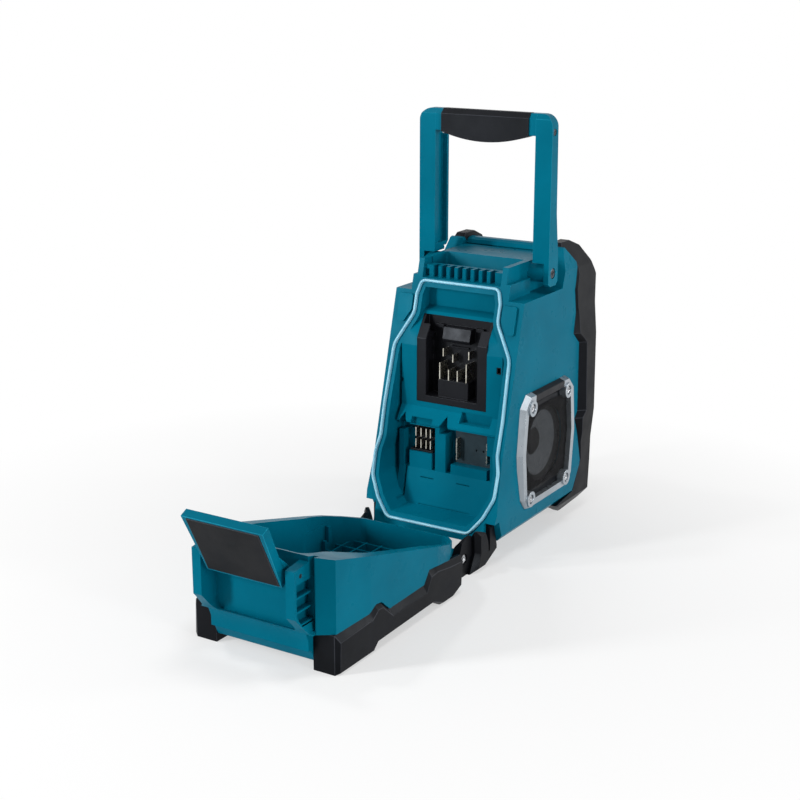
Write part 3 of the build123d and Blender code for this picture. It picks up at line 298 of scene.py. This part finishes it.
teal = moulded_teal("moulded_teal", srgb(0, 95, 118), srgb(0, 104, 128))
# Lighter copies of the teal and the rubber for the rounded edges: painted highlight where the edges catch
# the lamps.
teal_painted_highlight = moulded_teal("painted_highlight_teal", srgb(24, 134, 160), srgb(36, 146, 172))
rubber = black_rubber("black_rubber", srgb(9, 10, 13), srgb(16, 17, 21))
rubber_painted_highlight = black_rubber("painted_highlight_rubber", srgb(44, 46, 51), srgb(58, 60, 66))
painted_highlight_of = {teal.name: teal_painted_highlight, rubber.name: rubber_painted_highlight}
black = black_plastic()
seal_blue = seal_tube()
silver = silver_paint()
steel = zinc_steel()
dark_screw = dark_steel()
contact = plated_contact()
cone_low, cone_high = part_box("speaker_cone_left")
cone = cone_paper((cone_low.y + cone_high.y) / 2, (cone_low.z + cone_high.z) / 2)
wire = mesh_wire()
grey = adapter_grey()
board = board_green()
window = display_window()
keypad = keypad_grey()

finish_of_slot = {"teal_shell": teal, "black_rubber": rubber, "black_plastic": black,
                  "dark_mesh": wire, "silver_plastic": silver, "seal_blue": seal_blue,
                  "contact_metal": contact, "steel": steel, "board": board, "lens": window,
                  "cone_paper": cone, "button_grey": keypad}
finish_of_node = {"adapter_plate": grey, "latch_pin": dark_screw}
for name, node in nodes.items():
    node.data.materials.clear()
    node.data.materials.append(finish_of_node.get(name, finish_of_slot[slot_of[name]]))


# ---------------------------------------------------------------- shaping helpers
SAME_POINT = 0.002 * MM
SAME_PLANE = math.radians(0.6)
# Facets that meet at less than this look like one curve.
CREASE = math.radians(35)
# Place of a piece's second finish: painted highlight on a moulding's rounded edges, or painted shade
# inside a screw's recess.
PAINTED_LIGHT_SLOT = 1


def new_piece(name, bm, material, body, crease=CREASE):
    """A finished piece from a bmesh, in place, riding on a body."""
    mesh = bpy.data.meshes.new(name)
    bm.to_mesh(mesh)
    bm.free()
    mesh.materials.append(material)
    mesh.shade_smooth()
    mesh.set_sharp_from_angle(angle=crease)
    piece = bpy.data.objects.new(name, mesh)
    scene.collection.objects.link(piece)
    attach(piece, body)
    return piece


def merged_copy(name):
    """A node's surface with its loose triangles joined and its flat faces made whole."""
    bm = bmesh.new()
    bm.from_mesh(nodes[name].data)
    bmesh.ops.remove_doubles(bm, verts=bm.verts, dist=SAME_POINT)
    bmesh.ops.dissolve_limit(bm, angle_limit=SAME_PLANE, use_dissolve_boundaries=False,
                             verts=bm.verts, edges=bm.edges, delimit={"NORMAL"})
    return bm


# The foot of the tray's front wall lies inside this range.
TRAY_HALF = 44.5 * MM
TRAY_FRONT_Y = -163.5 * MM
TRAY_CORNER = 3.1 * MM
TRAY_FLOOR_Z = (250 * MM, 262 * MM)
TRAY_WALL_LEAN = 8 * MM


def slope_tray_wall(bm):
    """Leans the tray's front wall back, by moving its foot towards the comb."""
    foot = [vert for vert in bm.verts if abs(vert.co.x) < TRAY_HALF
            and abs(vert.co.y - TRAY_FRONT_Y) < TRAY_CORNER
            and TRAY_FLOOR_Z[0] < vert.co.z < TRAY_FLOOR_Z[1]]
    bmesh.ops.translate(bm, verts=foot, vec=(0, TRAY_WALL_LEAN, 0))


# The foot of an arm's channel lies inside this range.
CHANNEL_FOOT_Z = (295 * MM, 300.2 * MM)
CHANNEL_OUT_X = 64.6 * MM
CHANNEL_DROP = 9.5 * MM


def lengthen_arm_channel(bm):
    """Brings the channel on an arm's inner side down to the housing."""
    foot = [vert for vert in bm.verts if abs(vert.co.x) < CHANNEL_OUT_X
            and CHANNEL_FOOT_Z[0] < vert.co.z < CHANNEL_FOOT_Z[1]]
    bmesh.ops.translate(bm, verts=foot, vec=(0, 0, -CHANNEL_DROP))


# The same limit for moulded parts, whose facets are broad; edges past ROUNDED_PAST are rounded.
MOULDED_CREASE = math.radians(14)
ROUNDED_PAST = math.radians(28)
EDGE_SEGMENTS = 2
FACE_WEIGHT = 100
# A flat face with more corners than this is cut into triangles before its edges are rounded.
MOST_CORNERS = 12
MOST_CORNERS_OF = {"battery_door": 50, "latch_plate": 4, "handle_arm_right": 100, "handle_arm_left": 100}


def soften(name, width):
    """Replaces a node by its own shape with small rounded edges, as moulded parts have."""
    bm = merged_copy(name)
    if name == "main_housing":
        slope_tray_wall(bm)
    if name.startswith("handle_arm"):
        lengthen_arm_channel(bm)
    corners = MOST_CORNERS_OF.get(name, MOST_CORNERS)
    bmesh.ops.triangulate(bm, faces=[face for face in bm.faces if len(face.verts) > corners])
    material = nodes[name].data.materials[0]
    piece = new_piece(name + "_skin", bm, material, body_of[name], MOULDED_CREASE)
    bevel = piece.modifiers.new("edge_radius", "BEVEL")
    # Teal and rubber take a lighter copy of their finish on the rounded edges: painted highlight.
    edge = painted_highlight_of.get(material.name)
    if edge:
        piece.data.materials.append(edge)
        bevel.material = PAINTED_LIGHT_SLOT
    bevel.width = width
    bevel.segments = EDGE_SEGMENTS
    bevel.limit_method = "ANGLE"
    bevel.angle_limit = ROUNDED_PAST
    bevel.use_clamp_overlap = True
    bevel.miter_outer = "MITER_ARC"
    flats = piece.modifiers.new("flat_faces", "WEIGHTED_NORMAL")
    flats.weight = FACE_WEIGHT
    flats.keep_sharp = True
    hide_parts(name)


# Radius of each moulding's edges in millimetres.
edge_radii = {"main_housing": 0.5, "battery_compartment": 0.5, "battery_door": 0.6, "latch_plate": 0.3,
              "latch_pad": 0.5, "handle_arm_right": 1.0, "handle_arm_left": 1.0, "handle_crossbar": 0.8,
              "handle_grip": 1.2, "front_bumper_right": 1.4, "front_bumper_left": 1.4,
              "door_bumper_right": 1.4, "door_bumper_left": 1.4, "hinge_foot_right": 1.0,
              "hinge_foot_left": 1.0, "speaker_frame_right": 0.6, "speaker_frame_left": 0.6,
              "speaker_bar_right": 0.6, "speaker_bar_left": 0.6, "battery_socket": 0.5, "bay_socket": 0.4,
              "adapter_plate": 0.5, "front_panel": 1.0}
for name, radius in edge_radii.items():
    soften(name, radius * MM)


# ---------------------------------------------------------------- screw heads
# A face is a screw's head if it looks along X and lies within HEAD_REACH of the outermost point.
LOOKS_ALONG_X = 0.99
HEAD_REACH = 0.05 * MM
# Sizes as shares of the head's radius.
HEAD_SINK = 0.12
RIM_WIDTH, RIM_RISE = 0.16, 0.08
DOME_WIDTH, DOME_RISE = 0.2, 0.04
CROSS_ARM, CROSS_HALF = 0.58, 0.19
CROSS_DEPTH = 0.3
# The floor of a recess as a share of its mouth.
CROSS_TAPER = 0.8


def dome_head(bm, head):
    """Domes one flat screw head, so that the face becomes the disc at its middle. Returns its radius."""
    rim = max((edge.verts[0].co - head.calc_center_median()).length for edge in head.edges)
    inward = -head.normal
    bmesh.ops.translate(bm, verts=head.verts, vec=inward * HEAD_SINK * rim)
    for width, rise in ((RIM_WIDTH, RIM_RISE), (DOME_WIDTH, DOME_RISE)):
        bmesh.ops.inset_individual(bm, faces=[head], thickness=width * rim, depth=rise * rim)
    return rim


def cut_cross(bm, disc, rim):
    """Sinks a cross recess into a disc that faces along X."""
    centre = disc.calc_center_median()
    outward = disc.normal.copy()
    arm, half = CROSS_ARM * rim, CROSS_HALF * rim
    faces = [disc]
    for axis in (Vector((0, 1, 0)), Vector((0, 0, 1))):
        for offset in (-arm, -half, half, arm):
            edges = {edge for face in faces for edge in face.edges}
            verts = {vert for face in faces for vert in face.verts}
            cut = bmesh.ops.bisect_plane(bm, geom=list(verts) + list(edges) + faces,
                                         plane_co=centre + axis * offset, plane_no=axis)
            faces = [item for item in cut["geom"] if isinstance(item, bmesh.types.BMFace)]
    cross = []
    for face in faces:
        away = face.calc_center_median() - centre
        across, along = sorted((abs(away.y), abs(away.z)))
        if across < half and along < arm:
            cross.append(face)
    sunk = bmesh.ops.extrude_face_region(bm, geom=cross)
    bmesh.ops.delete(bm, geom=cross, context="FACES_ONLY")
    verts = [item for item in sunk["geom"] if isinstance(item, bmesh.types.BMVert)]
    bmesh.ops.translate(bm, verts=verts, vec=-outward * CROSS_DEPTH * rim)
    bmesh.ops.scale(bm, verts=verts, vec=(1, CROSS_TAPER, CROSS_TAPER), space=Matrix.Translation(-centre))
    # The recess's walls and floor take the second finish, black: painted shade.
    for item in sunk["geom"]:
        if isinstance(item, bmesh.types.BMFace):
            item.material_index = PAINTED_LIGHT_SLOT


def cross_headed(name, metal):
    """A node's screws with domed heads and a cross recess in each, lined with black as painted shade."""
    bm = merged_copy(name)
    reach = max(abs(vert.co.x) for vert in bm.verts)
    heads = [face for face in bm.faces
             if abs(face.normal.x) > LOOKS_ALONG_X
             and abs(face.calc_center_median().x) > reach - HEAD_REACH]
    for head in heads:
        cut_cross(bm, head, dome_head(bm, head))
    piece = new_piece(name + "_turned", bm, metal, body_of[name])
    # Black for the inside of each recess: painted shade.
    piece.data.materials.append(black)
    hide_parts(name)


for name in ("handle_screws", "handle_pivot_screws"):
    cross_headed(name, dark_screw)
for name in ("hinge_pins", "speaker_screws"):
    cross_headed(name, steel)

# ---------------------------------------------------------------- speaker mesh and felt
# A square mesh turned by 45 degrees and squeezed, so that its holes are upright diamonds.
MESH_PITCH = 1.35 * MM
MESH_WIRE = 0.3 * MM
MESH_INSET = 0.1 * MM
MESH_SQUEEZE = 0.8
# The frame's opening: shares of its sides that are straight, and the sheet's distance from them.
STRAIGHT_Y, STRAIGHT_Z = 0.76, 0.86
SHEET_CLEARANCE = 0.3 * MM
# A ring round the cone, spread wide and then trimmed.
FELT_HOLE = 39 * MM
FELT_SIDES = 72
FELT_SPREAD = 2
FELT_CENTRE_Z = (cone_low.z + cone_high.z) / 2
FELT_INSET = 0.6 * MM
FELT_THICKNESS = 0.2 * MM
# How far the felt reaches past the mesh in X, Y and Z.
FELT_MARGIN = Vector((0, 2.5, 8.5)) * MM


def trim(bm, centre, normal, distance):
    """Cuts away what lies further than a distance along a direction."""
    direction = Vector(normal)
    bmesh.ops.bisect_plane(bm, geom=bm.verts[:] + bm.edges[:] + bm.faces[:],
                           plane_co=centre + direction * distance, plane_no=direction, clear_outer=True)


def trim_to_opening(bm, low, high):
    """Cuts a sheet that faces along X to the eight-sided opening of a speaker's frame."""
    centre = (low + high) / 2
    half_y, half_z = (high.y - low.y) / 2, (high.z - low.z) / 2
    corner_y, corner_z = half_y * STRAIGHT_Y, half_z * STRAIGHT_Z
    for sy in (-1, 1):
        trim(bm, centre, (0, sy, 0), half_y - SHEET_CLEARANCE)
        for sz in (-1, 1):
            normal = Vector((0, sy * (half_z - corner_z), sz * (half_y - corner_y))).normalized()
            trim(bm, centre, normal, normal.y * sy * corner_y + normal.z * sz * half_z)
    for sz in (-1, 1):
        trim(bm, centre, (0, 0, sz), half_z - SHEET_CLEARANCE)


def speaker_mesh(side, sign):
    """Fine diamond mesh that fills the opening of a speaker's frame."""
    low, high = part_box("speaker_grille_" + side)
    centre = (low + high) / 2
    reach = (high.y - low.y + high.z - low.z) / 2
    count = int(2 * reach / MESH_PITCH)
    bm = bmesh.new()
    bmesh.ops.create_grid(bm, x_segments=count, y_segments=count, size=reach)
    bmesh.ops.rotate(bm, verts=bm.verts, matrix=Matrix.Rotation(math.radians(45), 3, "Z"))
    bmesh.ops.scale(bm, verts=bm.verts, vec=(1, MESH_SQUEEZE, 1))
    bmesh.ops.rotate(bm, verts=bm.verts, matrix=Matrix.Rotation(math.radians(90), 3, "Y"))
    bmesh.ops.translate(bm, verts=bm.verts, vec=(centre.x - sign * MESH_INSET, centre.y, centre.z))
    trim_to_opening(bm, low, high)
    piece = new_piece("speaker_mesh_" + side, bm, wire, "chassis")
    strands = piece.modifiers.new("strands", "WIREFRAME")
    strands.thickness = MESH_WIRE
    strands.use_even_offset = False
    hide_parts("speaker_grille_" + side)


def speaker_felt(side, sign):
    """Black felt round the cone, under the mesh, that covers the housing inside the frame."""
    low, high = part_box("speaker_grille_" + side)
    centre = (low + high) / 2
    bm = bmesh.new()
    bmesh.ops.create_circle(bm, segments=FELT_SIDES, radius=FELT_HOLE)
    outer = bmesh.ops.extrude_edge_only(bm, edges=bm.edges)
    verts = [item for item in outer["geom"] if isinstance(item, bmesh.types.BMVert)]
    bmesh.ops.scale(bm, verts=verts, vec=(FELT_SPREAD, FELT_SPREAD, 1))
    bmesh.ops.rotate(bm, verts=bm.verts, matrix=Matrix.Rotation(math.radians(90), 3, "Y"))
    bmesh.ops.translate(bm, verts=bm.verts, vec=(centre.x - sign * FELT_INSET, centre.y, FELT_CENTRE_Z))
    trim_to_opening(bm, low - FELT_MARGIN, high + FELT_MARGIN)
    piece = new_piece("speaker_felt_" + side, bm, rubber, "chassis")
    cloth = piece.modifiers.new("cloth", "SOLIDIFY")
    cloth.thickness = FELT_THICKNESS
    cloth.offset = 0


for side, sign in (("right", 1), ("left", -1)):
    speaker_mesh(side, sign)
    speaker_felt(side, sign)

# ---------------------------------------------------------------- stage, light and camera
FLOOR_HALF = 8.0
FLOOR_WHITE = 0.93
# The floor glows from NEAR_GLOW up to full white between these two distances from the middle.
SHADOW_NEAR, SHADOW_FAR = 0.2, 0.6
NEAR_GLOW = 0.5
FILL_LIGHT = 0.24

bm = bmesh.new()
bmesh.ops.create_grid(bm, x_segments=1, y_segments=1, size=FLOOR_HALF)
floor_mesh = bpy.data.meshes.new("floor")
bm.to_mesh(floor_mesh)
bm.free()
floor = bpy.data.objects.new("floor", floor_mesh)
scene.collection.objects.link(floor)


def seen_directly(tree):
    """1 where the camera, a reflection or clear glass looks straight at the surface, otherwise 0."""
    path = tree.nodes.new("ShaderNodeLightPath")
    total = tree.nodes.new("ShaderNodeMath")
    total.operation = "ADD"
    total.use_clamp = True
    more = tree.nodes.new("ShaderNodeMath")
    more.operation = "ADD"
    tree.links.new(path.outputs["Is Camera Ray"], total.inputs[0])
    tree.links.new(path.outputs["Is Glossy Ray"], more.inputs[0])
    tree.links.new(path.outputs["Is Transmission Ray"], more.inputs[1])
    tree.links.new(more.outputs[0], total.inputs[1])
    return total.outputs[0]


def show_mix(tree, factor, first, second, output):
    """Sends a mix of two shaders to a tree's output: the first at factor 0, the second at 1."""
    mix = tree.nodes.new("ShaderNodeMixShader")
    tree.links.new(factor, mix.inputs["Fac"])
    tree.links.new(first.outputs[0], mix.inputs[1])
    tree.links.new(second.outputs[0], mix.inputs[2])
    tree.links.new(mix.outputs[0], tree.nodes[output].inputs["Surface"])


def white_floor():
    """Pale floor that keeps the shadow round the object and fades to white further out."""
    finish = Finish("white_floor", roughness=0.9, specular=0.1)
    finish.shader.inputs["Base Color"].default_value = (FLOOR_WHITE, FLOOR_WHITE, FLOOR_WHITE, 1)
    tree = finish.tree
    distance = tree.nodes.new("ShaderNodeVectorMath")
    distance.operation = "LENGTH"
    tree.links.new(finish.place, distance.inputs[0])
    fade = finish.ramp(distance.outputs["Value"], SHADOW_NEAR, SHADOW_FAR, NEAR_GLOW, 1.0)
    glow = tree.nodes.new("ShaderNodeEmission")
    glow.inputs["Strength"].default_value = 1.0
    seen = finish.product(fade, seen_directly(tree))
    show_mix(tree, seen, finish.shader, glow, "Material Output")
    return finish.material


floor.data.materials.append(white_floor())

world = bpy.data.worlds.new("studio")
scene.world = world
world.use_nodes = True
tree = world.node_tree
lit = tree.nodes["Background"]
lit.inputs["Color"].default_value = (1, 1, 1, 1)
lit.inputs["Strength"].default_value = FILL_LIGHT
backdrop = tree.nodes.new("ShaderNodeBackground")
backdrop.inputs["Color"].default_value = (1, 1, 1, 1)
backdrop.inputs["Strength"].default_value = 1.0
show_mix(tree, seen_directly(tree), lit, backdrop, "World Output")


def area_light(name, place, aim, size, power):
    """A soft rectangular lamp of a width and a height, turned towards a point; power in watts."""
    light = bpy.data.lights.new(name, "AREA")
    light.shape = "RECTANGLE"
    light.size, light.size_y = size
    light.energy = power
    lamp = bpy.data.objects.new(name, light)
    lamp.location = place
    lamp.rotation_mode = "QUATERNION"
    lamp.rotation_quaternion = (Vector(aim) - Vector(place)).to_track_quat("-Z", "Y")
    scene.collection.objects.link(lamp)


area_light("top_lamp", place=(-0.3, 0.1, 2.0), aim=(0, 0, 0.15), size=(0.5, 0.5), power=9)
area_light("rear_strip", place=(1.05, 1.45, 0.7), aim=(0, -0.1, 0.2), size=(0.22, 0.6), power=24)
area_light("high_lamp", place=(1.0, 0.45, 1.8), aim=(0, 0, 0.25), size=(0.2, 0.2), power=6)
area_light("front_lamp", place=(-1.6, -1.15, 0.5), aim=(0, -0.1, 0.15), size=(0.4, 0.4), power=13)
area_light("side_lamp", place=(-1.5, 0.5, 0.35), aim=(0, 0, 0.1), size=(0.3, 0.3), power=8)

# Sensor and lens in millimetres, place in metres.
SENSOR_WIDTH = 36.0
FOCAL_LENGTH = 68.2
CAMERA_PLACE = (-0.71825, 1.15383, 0.56874)
TOWARDS_CAMERA = Vector((-0.507, 0.815, 0.280))

camera_data = bpy.data.cameras.new("camera")
camera_data.sensor_width = SENSOR_WIDTH
camera_data.lens = FOCAL_LENGTH
camera = bpy.data.objects.new("camera", camera_data)
camera.location = CAMERA_PLACE
camera.rotation_mode = "QUATERNION"
camera.rotation_quaternion = TOWARDS_CAMERA.to_track_quat("Z", "Y")
scene.collection.objects.link(camera)
scene.camera = camera
scene.view_settings.view_transform = "Standard"
